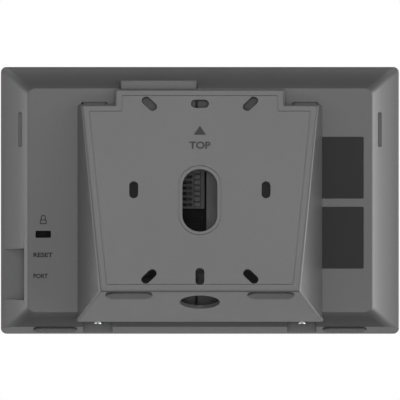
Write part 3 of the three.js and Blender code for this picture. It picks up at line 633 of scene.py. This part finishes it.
def makeBoard():
    # a black circuit board: tracks that run both ways in patches, with bright pads
    look = boardLook
    material, tree, shader, place = startMaterial(
        "board", {"Roughness": look["roughness"], "Specular IOR Level": look["specular"]}
    )
    flat = unitCoordinates(tree, place)
    tracks, patches, pads = pick(look, "tracks", "patches", "pads")
    across, upward = (bands(tree, flat, tracks["scale"], axis, tracks["wander"]) for axis in ("X", "Z"))
    choice = remap(tree, noise(tree, flat, patches["scale"], 1, 0.5), *patches["edge"])
    chosen = addNode(tree, "ShaderNodeMix", {0: choice, 2: across, 3: upward}).outputs[0]
    line = remap(tree, chosen, *tracks["edge"])
    masked = blendColor(tree, line, look["mask"], look["track"])
    dots = remap(tree, cells(tree, flat, pads["scale"]), *pads["edge"])
    tree.links.new(blendColor(tree, dots, masked, look["pad"]), shader.inputs["Base Color"])
    bumpInto(tree, shader, line, tracks["height"])
    return material


def makeCoverGlass():
    # black-backed glass with the display's active area just showing
    look = glassLook
    material, tree, shader, place = startMaterial("cover glass", {"Specular IOR Level": look["specular"]})
    parts = addNode(tree, "ShaderNodeSeparateXYZ", {0: unitCoordinates(tree, place)})
    inside = [remap(tree, maths(tree, "ABSOLUTE", parts.outputs[axis.upper()], 0), *edge)
              for axis, edge in look["active"].items()]
    active = maths(tree, "MULTIPLY", *inside)
    tree.links.new(blendColor(tree, active, *look["colors"]), shader.inputs["Base Color"])
    hazy(tree, shader, place, look["smear"], 4, 0.6)
    return material


def makePanel():
    # fine rows of cells, with a slow change of gloss
    material, tree, shader, place = startMaterial("panel", {})
    rows = bands(tree, unitCoordinates(tree, place), panelLook["rows"], "Z")
    tree.links.new(blendColor(tree, rows, *panelLook["colors"]), shader.inputs["Base Color"])
    hazy(tree, shader, place, panelLook["haze"])
    return material


def makeClearPlastic():
    # clear sheet with printed white dots
    look = clearLook
    material, tree, shader, place = startMaterial(
        "clear plastic", {"Transmission Weight": look["transmission"], "IOR": look["refraction"]}
    )
    printed = remap(tree, cells(tree, place, look["dots"]["scale"]), *look["dots"]["edge"])
    tree.links.new(blendColor(tree, printed, *look["colors"]), shader.inputs["Base Color"])
    tree.links.new(remap(tree, printed, 0, 1, *look["roughness"]), shader.inputs["Roughness"])
    bumpInto(tree, shader, printed, look["dots"]["height"])
    return material


def makeRibbonFilm():
    # amber film over copper lines that run along the ribbon
    material, tree, shader, place = startMaterial("ribbon film", {})
    copper = remap(tree, bands(tree, place, ribbonLook["lines"]["scale"], "X"), *ribbonLook["lines"]["edge"])
    tree.links.new(blendColor(tree, copper, *ribbonLook["colors"]), shader.inputs["Base Color"])
    hazy(tree, shader, place, ribbonLook["haze"])
    return material


def makeLabelFilm():
    # a dark satin film, its surface slightly uneven where it is stuck down
    look = labelLook
    material, tree, shader, place = startMaterial("label film", {"Specular IOR Level": look["specular"]})
    cloud = noise(tree, place, look["cloud"]["scale"], 3, 0.5)
    mask = remap(tree, cloud, *look["cloud"]["range"])
    tree.links.new(blendColor(tree, mask, *look["colors"]), shader.inputs["Base Color"])
    tree.links.new(remap(tree, mask, 0, 1, *look["cloud"]["roughness"]), shader.inputs["Roughness"])
    bumpInto(tree, shader, noise(tree, place, look["grain"]["scale"], 2, 0.6), look["grain"]["height"])
    return material


finishes = {
    **{name: mouldedPlastic(name, **values) for name, values in mouldings.items()},
    **{name: drawnMetal(name, **values) for name, values in metals.items()},
    "board": makeBoard(),
    "cover glass": makeCoverGlass(),
    "panel": makePanel(),
    "clear plastic": makeClearPlastic(),
    "ribbon film": makeRibbonFilm(),
    "label film": makeLabelFilm(),
}
print("materials made")


# Rear cover of the unit

cover = {
    "cornerRadius": 2.6,
    "cornerAtBack": 3.7,
    "leastRadius": 0.6,
    "bevelDepth": 10.3,
    "sideCove": {"width": 12.4, "heel": 4, "sink": 7.6},
    "endCove": {"width": 9.8, "heel": 2.9, "sink": 7},
    "rimRound": 0.6,
    "creaseRound": 0.6,
    "coveSteps": 12,
    "cornerSteps": 8,
    "roundSteps": 4,
    "bay": {"x": (-3, 36.8), "halfHeight": 33.4, "depth": 6.4, "wall": 1.5},
    "channel": {"x": (0.9, 36.8), "depth": 5},
    "blockHole": {"x": (-3, 12.2), "z": (-18, 17.92)},
    "recess": {"from": 80.2, "floor": 9.9, "z": (-45.1, -22.2), "draft": 0.5, "wall": 1.5},
    "portHole": {"y": (-9, -5.6), "z": (-38.5, -30.3), "corner": 1},
    "resetHole": {"radius": 0.8, "depth": 7.4, "z": -24.8},
    "lock": {"x": 71.4, "z": -15.4, "width": 7, "tall": 3.2, "corner": 0.5},
    "labels": {"x": (-74.7, -36.7), "bottoms": (0.8, -31.1), "height": 28.3, "sink": 0.5, "corner": 0.7},
    "groove": {"x": 82.1, "z": 32.35, "length": 16, "width": 1.8, "floor": 6.2},
    "hookSlot": {"x": 48.1, "width": 11.8, "z": (34.9, 44.9), "corner": 0.6},
    "notch": {"x": 46.6, "width": 13.4, "depth": 15.9, "wall": 1.5},
    "insert": {"radius": 2.6, "length": 6.3},
    "bosses": {"x": (-58, 60), "z": (-36, 34), "radius": 3, "top": -8.7, "bore": 1.1, "boreY": (-9.5, -3.4)},
    "trayRoom": {"x": 82.75, "y": -14.4, "z": 50.3},
    "frontPad": {"x": 66.1, "fromFront": 6.15, "length": 20.2, "width": 6.3, "sink": 0.6},
}


def coveInset(cove, depth):
    # how far in the cove's surface stands at a depth under the flat back
    rise = cover["bevelDepth"] - depth
    bend = 2 * cove["sink"] - cover["bevelDepth"]
    slope = 2 * (cover["bevelDepth"] - cove["sink"])
    part = (math.sqrt(slope**2 + 4 * bend * rise) - slope) / (2 * bend)
    return 2 * part * (1 - part) * (cove["width"] - cove["heel"]) + part**2 * cove["width"]


def coveDepths():
    # depths under the flat back, closer together where the cove bends most
    cove = cover["sideCove"]
    for step in range(cover["coveSteps"] + 1):
        part = step / cover["coveSteps"]
        yield cover["bevelDepth"] * (1 - part) ** 2 + 2 * cove["sink"] * part * (1 - part)


def ringEdges(ring):
    # the edges whose ends are both in a ring of points
    inRing = set(ring)
    edges = dict.fromkeys(e for v in ring for e in v.link_edges)
    return [e for e in edges if e.verts[0] in inRing and e.verts[1] in inRing]


def coverForm(inset, front):
    # the unit's form shrunk by an inset: a rounded rectangle drawn up and in along the coves
    bm = bmesh.new()
    bmesh.ops.create_grid(bm, x_segments=1, y_segments=1, size=1)
    across = unitSize["halfWidth"] - inset
    along = unitSize["halfHeight"] - inset
    radius = max(cover["cornerRadius"] - inset, cover["leastRadius"])
    bmesh.ops.scale(bm, vec=(across, along, 1), verts=bm.verts)
    roundOff(bm, list(bm.verts), radius, cover["cornerSteps"], "VERTICES")
    bmesh.ops.translate(bm, vec=(0, 0, front), verts=bm.verts)
    top = list(bm.faces)
    rings = []
    for depth in coveDepths():
        share = 1 - depth / cover["bevelDepth"]
        newAcross = unitSize["halfWidth"] - inset - coveInset(cover["sideCove"], depth)
        newAlong = unitSize["halfHeight"] - inset - coveInset(cover["endCove"], depth)
        grown = cover["cornerRadius"] + share * (cover["cornerAtBack"] - cover["cornerRadius"])
        newRadius = max(grown - inset, cover["leastRadius"])
        made = bmesh.ops.extrude_face_region(bm, geom=top)["geom"]
        bmesh.ops.delete(bm, geom=top, context="FACES_ONLY")
        top = [g for g in made if isinstance(g, bmesh.types.BMFace)]
        ring = [g for g in made if isinstance(g, bmesh.types.BMVert)]
        for vert in ring:
            signX = math.copysign(1, vert.co.x)
            signY = math.copysign(1, vert.co.y)
            outX = (vert.co.x - signX * (across - radius)) / radius
            outY = (vert.co.y - signY * (along - radius)) / radius
            vert.co.x = signX * (newAcross - newRadius) + outX * newRadius
            vert.co.y = signY * (newAlong - newRadius) + outY * newRadius
            vert.co.z = -depth - inset
        rings.append(ring)
        across, along, radius = newAcross, newAlong, newRadius
    fillOpenings(bm)
    if inset == 0:
        roundOff(bm, ringEdges(rings[0]), cover["rimRound"], cover["roundSteps"])
        crease = [v for v in rings[-1] if v.is_valid]
        roundOff(bm, ringEdges(crease), cover["creaseRound"], cover["roundSteps"])
    bm.transform(Matrix.Rotation(-math.pi / 2, 4, "X"))
    foot = (0, 0, (footPlane + inset) / leanCosine)
    slicePlanes(bm, [(foot, (0, leanSine, -leanCosine))])
    bmesh.ops.recalc_face_normals(bm, faces=bm.faces)
    return bm


def coverCores():
    # what stands inside the shell: the walls of the bay and recesses, and the screw posts
    bay, channel, recess, notch, bosses = pick(cover, "bay", "channel", "recess", "notch", "bosses")
    wall = bay["wall"]
    cores = [
        bar((bay["x"][0] - wall, bay["x"][1] + wall), (-bay["depth"] - wall, past),
            span(0, 2 * (bay["halfHeight"] + wall))),
        bar((channel["x"][0] - wall, channel["x"][1] + wall), (-channel["depth"] - wall, past), (-far, far)),
        bar((recess["from"] - wall, far), (-recess["floor"] - wall, past),
            (recess["z"][0] - wall, recess["z"][1] + wall)),
    ]
    tube = cover["insert"]["radius"] + notch["wall"]
    deep = -shared["screwDepth"]
    for side in sides:
        x = side * notch["x"]
        cores.append(bar(span(x, notch["width"] + 2 * notch["wall"]), (-far, past),
                         (-far, notchCeiling + notch["wall"])))
        cores.append(rod(tube, (x, deep, notchCeiling),
                         (x, deep, notchCeiling + cover["insert"]["length"] + notch["wall"])))
    for x in bosses["x"]:
        for z in bosses["z"]:
            cores.append(rod(bosses["radius"], (x, bosses["top"], z), (x, past, z)))
    return cores


def recessCuts():
    # the side recess, its walls drafted above the flat back's plane, and the holes in its inner wall
    recess, port, reset = pick(cover, "recess", "portHole", "resetHole")
    low, high = recess["z"]
    floor, draft = -recess["floor"], recess["draft"]
    outline = [(floor, low), (floor, high), (0, high + draft), (past, high + draft), (past, low - draft),
               (0, low - draft)]
    through = (recess["from"] - 2 * recess["wall"], recess["from"] + past)
    return [
        prism(outline, "x", (recess["from"], far)),
        bar(through, port["y"], port["z"], port["corner"], "x"),
        rod(reset["radius"], *((x, -reset["depth"], reset["z"]) for x in through)),
    ]


def coverCuts():
    # the bay, the cable channel, the recess, the lock slot, the wells and slots, and the room for the tray
    bay, channel, block, lock, labels = pick(cover, "bay", "channel", "blockHole", "lock", "labels")
    groove, hook, notch, insert, pad = pick(cover, "groove", "hookSlot", "notch", "insert", "frontPad")
    room, bosses = pick(cover, "trayRoom", "bosses")
    throughWall = (-unitSize["wall"] - past, past)
    deep = -shared["screwDepth"]
    cuts = [
        bar(bay["x"], (-bay["depth"], past), (-bay["halfHeight"], bay["halfHeight"])),
        bar(channel["x"], (-channel["depth"], past), (-far, far)),
        bar(block["x"], (-far, 0), block["z"]),
        *recessCuts(),
        bar(span(lock["x"], lock["width"]), throughWall, span(lock["z"], lock["tall"]), lock["corner"]),
        bar((-room["x"], room["x"]), (-far, room["y"]), (-room["z"], room["z"])),
    ]
    for bottom in labels["bottoms"]:
        cuts.append(bar(labels["x"], (-labels["sink"], past), (bottom, bottom + labels["height"]),
                        labels["corner"]))
    for side in sides:
        x = side * notch["x"]
        cuts.append(slotBar(groove["length"], groove["width"], (-groove["floor"], past),
                            (side * groove["x"], groove["z"]), 90))
        cuts.append(bar(span(side * hook["x"], hook["width"]), throughWall, hook["z"], hook["corner"]))
        cuts.append(bar(span(x, notch["width"]), (-notch["depth"], past), (-far, notchCeiling)))
        cuts.append(rod(insert["radius"], (x, deep, notchCeiling - past),
                        (x, deep, notchCeiling + insert["length"])))
        sink = padSink(side * pad["x"], pad["fromFront"] - forward, pad)
        sink.transform(leanBack.inverted())
        cuts.append(sink)
    for x in bosses["x"]:
        for z in bosses["z"]:
            cuts.append(rod(bosses["bore"], *((x, y, z) for y in bosses["boreY"]), 16))
    return cuts


def makeCover():
    hollow = asObject(coverForm(unitSize["wall"], -far))
    combine(hollow, coverCores(), "DIFFERENCE")
    shell = asObject(coverForm(0, -unitSize["coverDepth"]))
    combine(shell, [asBmesh(hollow), *coverCuts()], "DIFFERENCE")
    finishPiece(shell, "rear_cover_piece", unitPlace, "display_unit", "casing", ["rear_cover"])


makeCover()
print("rear cover made")


# Stand

stand = {
    "plateFace": 21.085,
    "wall": 1.8,
    "topUp": 50.8,
    "shoulderUp": 43.7,
    "tabHalf": 38.7,
    "sideBase": 55.8,
    "sideSlope": 0.285,
    "edges": {"round": 1.05, "steps": 5, "angle": 20, "beyond": 1.2},
    "patternMiddle": -2.48,
    "slots": {"length": 8.2, "width": 4.05, "row": 41.65, "diagonal": 23, "side": 30},
    "oval": {"height": 30.2, "width": 15.9, "below": 5.1, "grooveOut": 1.8, "steps": 16},
    "groove": {"inset": 3.1, "width": 0.42, "depth": 0.35, "corners": (0.8, 0.5)},
    "skirtHole": {"radius": 9.1, "fromPlate": 14.7, "steps": 64},
    "rearPad": {"x": 32.05, "fromPlate": 5.25, "length": 21.3, "width": 8.5, "sink": 0.6},
    "hook": {"x": 48.1, "width": 10, "stem": (41.2, 44.2), "catch": 3, "thickness": 1.8},
    "tab": {"x": 46.6, "width": 10, "reach": 13, "hole": 1.55, "root": 0.4, "corner": 0.6},
}
plateTop = (stand["topUp"] - stand["plateFace"] * leanSine) / leanCosine


def sidePlanes(inset):
    slope = stand["sideSlope"]
    return [((side * (stand["sideBase"] - inset), 0, 0), (side, slope * leanCosine, -slope * leanSine))
            for side in sides]


def shoulderBlocks(inset):
    # what is cut away beside the raised middle of the plate's top
    blocks = []
    for side in sides:
        edges = sorted((side * (stand["tabHalf"] - inset), side * far))
        shoulder = bar(edges, (-far, far), (stand["shoulderUp"] - inset, far))
        shoulder.transform(leanBack)
        blocks.append(shoulder)
    return blocks


def plateOutline(inset):
    # the plate's outline set in by an inset, as points across and up
    face = stand["plateFace"]
    shoulder = (stand["shoulderUp"] - face * leanSine) / leanCosine - inset
    low = footPlane + inset

    def half(height):
        out = face * leanCosine - height * leanSine
        return stand["sideBase"] - stand["sideSlope"] * out - inset

    tab = stand["tabHalf"] - inset
    right = [(half(low), low), (half(shoulder), shoulder), (tab, shoulder), (tab, plateTop - inset)]
    return right + [(-across, up) for across, up in reversed(right)]


def grooveRing(outer, inner):
    ring = asObject(outer)
    combine(ring, [inner], "DIFFERENCE")
    return asBmesh(ring)


def standCuts():
    # the wall slots, the oval cable hole, the hole in the skirt, the pads' sinks and the fine grooves
    slots, oval, pad, hole, groove = pick(stand, "slots", "oval", "rearPad", "skirtHole", "groove")
    face = stand["plateFace"]
    middle = stand["patternMiddle"]
    through = stand["wall"] + past
    throughPlate = (face - through, face + past)
    row, diagonal, out = slots["row"], slots["diagonal"], slots["side"]
    places = [
        (-out, 0, 90), (out, 0, 90), (0, row, 0), (0, -row, 90),
        (-diagonal, row, 135), (diagonal, row, 45), (-diagonal, -row, 45), (diagonal, -row, 135),
    ]
    cuts = [slotBar(slots["length"], slots["width"], throughPlate, (x, middle + z), turn)
            for x, z, turn in places]
    for side in sides:
        cuts.append(padSink(side * pad["x"], face - pad["fromPlate"], pad))
    holeOut = face - hole["fromPlate"]
    cuts.append(rod(hole["radius"], (0, holeOut, footPlane - past), (0, holeOut, footPlane + through),
                    hole["steps"]))
    sunk = (face - groove["depth"], face + past)
    deeper = (sunk[0] - past, sunk[1] + past)
    insets = (groove["inset"], groove["inset"] + groove["width"])
    cuts.append(grooveRing(*(prism(plateOutline(inset), "y", reach, corner)
                             for inset, reach, corner in zip(insets, (sunk, deeper), groove["corners"]))))

    def ovalBar(grown, reach):
        return slotBar(oval["height"] + grown, oval["width"] + grown, reach, (0, middle - oval["below"]), 90,
                       oval["steps"])

    grown = 2 * oval["grooveOut"]
    cuts.append(ovalBar(0, throughPlate))
    cuts.append(grooveRing(ovalBar(grown, sunk), ovalBar(grown - 2 * groove["width"], deeper)))
    return cuts


def standFastening():
    # the hooks at the top and the tabs that the screws pass through
    hook, tab, gap = stand["hook"], stand["tab"], unitSize["gap"]
    stem = hook["stem"]
    inner = -unitSize["wall"] - gap
    behindWall = (inner - hook["thickness"], inner)
    tongue = (-tab["reach"], tab["root"] - shared["skirtFront"])
    parts = []
    for side in sides:
        across = span(side * hook["x"], hook["width"])
        parts.append(bar(across, (behindWall[0], gap + past), stem))
        parts.append(bar(across, behindWall, (stem[0] + hair, stem[1] + hook["catch"])))
        parts.append(bar(span(side * tab["x"], tab["width"]), tongue,
                         (skirtEdgeUp, skirtEdgeUp + shared["tabThickness"]), tab["corner"], "z"))
    for part in parts:
        part.transform(leanBack)
    return parts


def tabHoles():
    holes = []
    for side in sides:
        x, deep = side * stand["tab"]["x"], -shared["screwDepth"]
        hole = rod(stand["tab"]["hole"], (x, deep, skirtEdgeUp - past),
                   (x, deep, skirtEdgeUp + shared["tabThickness"] + past))
        hole.transform(leanBack)
        holes.append(hole)
    return holes


def makeStand():
    face, wall, edges = stand["plateFace"], stand["wall"], stand["edges"]
    gap = unitSize["gap"]
    ledge = footPlane + wall
    top = stand["topUp"] * upBack + gap * outOfBack
    heel = (ledge + gap * leanSine) / leanCosine * upBack + gap * outOfBack
    skirt = (skirtEdgeUp * upBack - shared["skirtFront"] * outOfBack).y
    profile = [(face, footPlane), (face, plateTop), (top.y, top.z), (heel.y, heel.z), (skirt, ledge),
               (skirt, footPlane)]
    shell = asObject(slicePlanes(prism(profile, "x", (-far, far)), sidePlanes(0)))
    combine(shell, shoulderBlocks(0), "DIFFERENCE")

    def outer(edge):
        # outer edges that stand clear of the unit's back
        middle = (edge.verts[0].co + edge.verts[1].co) / 2
        return middle.dot(outOfBack) > edges["beyond"] and edge.calc_face_angle_signed(0) > 0

    roundEdges(shell, edges["round"], edges["steps"], edges["angle"], outer)
    hollow = asObject(slicePlanes(bar((-far, far), (-far, face - wall), (ledge, far)), sidePlanes(wall)))
    combine(hollow, shoulderBlocks(wall), "DIFFERENCE")
    combine(shell, [asBmesh(hollow)], "DIFFERENCE")
    combine(shell, standFastening(), "UNION")
    under = bar((-far, far), (-far, far), (-far, footPlane))
    combine(shell, [under, *tabHoles(), *standCuts()], "DIFFERENCE")
    finishPiece(shell, "stand_shell_piece", uprightPlace, "stand", "stand", ["stand_shell"])


makeStand()
print("stand made")


# Covers, feet, screws and the smaller parts keep their CAD shape with their edges rounded

softEdges = {
    "cable_cover": 0.95,
    "terminal_block": 0.1,
    "terminal_button": 0.22,
    "pad": 0.28,
    "screw": 0.12,
    "port": 0.12,
    "reset": 0.1,
    "label": 0.05,
    "glass": 0.3,
    "frame": 0.35,
}
ways = range(1, 9)


def standsOut(vert):
    # how far a point of a placed piece stands out of the flat back
    return (vert.co - backCentre).dot(outOfBack) / millimetre


def onFront(edge):
    # edges of the front rim, beyond the joint with the rear cover
    return all(standsOut(v) < -unitSize["coverDepth"] - 0.1 for v in edge.verts)


def onCoverFace(edge):
    # edges of a cable cover's outer face, which stands proud of the flat back
    return all(standsOut(v) > 1 for v in edge.verts)


def makeSmallParts():
    for side in ("top", "bottom"):
        softened(f"cable_cover_{side}", "display_unit", "casing", softEdges["cable_cover"], 5,
                 onCoverFace)
    softened("terminal_block", "display_unit", "block", softEdges["terminal_block"])
    for way in ways:
        softened(f"terminal_button_{way}", f"way_button_{way}", "button",
                 softEdges["terminal_button"], 3)
    for side in ("left", "right"):
        softened(f"rear_pad_{side}", "stand", "rubber", softEdges["pad"], 3)
        softened(f"front_pad_{side}", "display_unit", "rubber", softEdges["pad"], 3)
        softened(f"stand_screw_{side}", "stand", "steel", softEdges["screw"])
    softened("port_socket", "display_unit", "steel", softEdges["port"])
    softened("reset_button", "reset_plunger", "button", softEdges["reset"])
    for side in ("upper", "lower"):
        softened(f"label_{side}", "display_unit", "label film", softEdges["label"])
    softened("cover_glass", "display_unit", "cover glass", softEdges["glass"], 3)
    softened("front_frame", "display_unit", "dark", softEdges["frame"], 3, onFront)


makeSmallParts()
print("small parts made")


# Marks printed on the cover and the stand

marks = {
    "thickness": 0.04,
    "proud": 0.025,
    "bolder": 0.035,
    "reset": {"text": "RESET", "x": 71.5, "z": -24.8, "width": 8.8, "tall": 2.1},
    "port": {"text": "PORT", "x": 72.6, "z": -34.4, "width": 6.6, "tall": 2.1},
    "top": {"text": "TOP", "x": 0, "z": 19.05, "width": 9.7, "tall": 3.6},
    "arrow": {"x": 0, "z": (24.1, 28.5), "width": 5.7},
    "lock": {"x": 71.4, "z": -8.7, "width": 3.05, "tall": 4.15, "body": 2.1, "shackle": 2.2, "line": 0.42,
             "corners": (0.35, 0.1)},
}
inkDepth = span(0, marks["thickness"])


def lettering(mark):
    # words as thin solid letters that read from behind, fitted to their width and height
    curve = bpy.data.curves.new("letters", "FONT")
    curve.body = mark["text"]
    curve.offset = marks["bolder"]
    curve.extrude = 0.5
    obj = bpy.data.objects.new("letters", curve)
    bpy.context.scene.collection.objects.link(obj)
    bpy.context.view_layer.update()
    mesh = bpy.data.meshes.new_from_object(obj.evaluated_get(bpy.context.evaluated_depsgraph_get()))
    bpy.data.objects.remove(obj)
    bm = bmesh.new()
    bm.from_mesh(mesh)
    bpy.data.meshes.remove(mesh)
    low, high = (Vector([end(v.co[axis] for v in bm.verts) for axis in range(3)]) for end in (min, max))
    size = high - low
    bmesh.ops.translate(bm, vec=-(low + high) / 2, verts=bm.verts)
    scale = (mark["width"] / size.x, mark["tall"] / size.y, marks["thickness"] / size.z)
    bmesh.ops.scale(bm, vec=scale, verts=bm.verts)
    facing = Matrix(((-1, 0, 0), (0, 0, 1), (0, 1, 0))).to_4x4()
    bm.transform(Matrix.Translation((mark["x"], 0, mark["z"])) @ facing)
    return bm


def inkOn(bm, face):
    # moves a mark drawn about the back's plane so that it stands a hair proud of a face
    bmesh.ops.translate(bm, vec=(0, face + marks["proud"] - marks["thickness"] / 2, 0), verts=bm.verts)
    return bm


def padlock():
    # the outline of a shut padlock: a shackle over an open body, the shackle's corners rounded by a
    # little under half its width
    lock = marks["lock"]
    x, line, shackle = lock["x"], lock["line"], lock["shackle"]
    low = lock["z"] - lock["tall"] / 2
    high = low + lock["tall"]
    body = (low, low + lock["body"])
    through = (-past, past)
    inner = shackle - 2 * line
    icon = asObject(bar(span(x, shackle), inkDepth, (low + past, high), shackle / 2.2))
    combine(icon, [bar(span(x, inner), through, (low - past, high - line), inner / 2.2),
                   bar(span(x, 3 * shackle), through, (low - past, body[1]))], "DIFFERENCE")
    ring = asObject(bar(span(x, lock["width"]), inkDepth, body, lock["corners"][0]))
    hole = bar(span(x, lock["width"] - 2 * line), through, (body[0] + line, body[1] - line),
               lock["corners"][1])
    combine(ring, [hole], "DIFFERENCE")
    bm = asBmesh(icon)
    bm.from_mesh(ring.data)
    discard(ring)
    return bm


def upArrow():
    arrow = marks["arrow"]
    low, high = arrow["z"]
    left, right = span(0, arrow["width"])
    return prism([(left, low), (right, low), (0, high)], "y", inkDepth)


def makeMarks():
    onBack = {f"{key}_mark": lettering(marks[key]) for key in ("reset", "port")}
    onBack["lock_mark"] = padlock()
    onPlate = {"top_mark": lettering(marks["top"]), "top_arrow": upArrow()}
    for name, shape in onBack.items():
        finishPiece(asObject(inkOn(shape, 0)), name, unitPlace, "display_unit", "ink")
    for name, shape in onPlate.items():
        finishPiece(asObject(inkOn(shape, stand["plateFace"])), name, uprightPlace, "stand",
                    "plateInk")


makeMarks()
print("marks made")


# Finishes of the parts inside

insideFinishes = {
    "tin": ["backlight_tray", "shield_can"],
    "dark steel": ["lock_plate"] + [f"terminal_clamp_{way}" for way in ways],
    "brass": ["screw_insert_left", "screw_insert_right"],
    "steel": [f"{kind}_screw_{number}" for kind in ("board", "tray") for number in range(1, 5)],
    "dark": ["processor", "loudspeaker", "ribbon_socket"],
    "block": ["reset_switch"],
    "board": ["main_board", "antenna_board"],
    "panel": ["lcd_panel"],
    "clear plastic": ["light_guide"],
    "ribbon film": ["display_ribbon"],
}


def dressInside():
    for finish, names in insideFinishes.items():
        for name in names:
            materials = nodes[name].data.materials
            if not materials:
                materials.append(finishes[finish])
            for index in range(len(materials)):
                materials[index] = finishes[finish]


dressInside()
print("inside dressed")
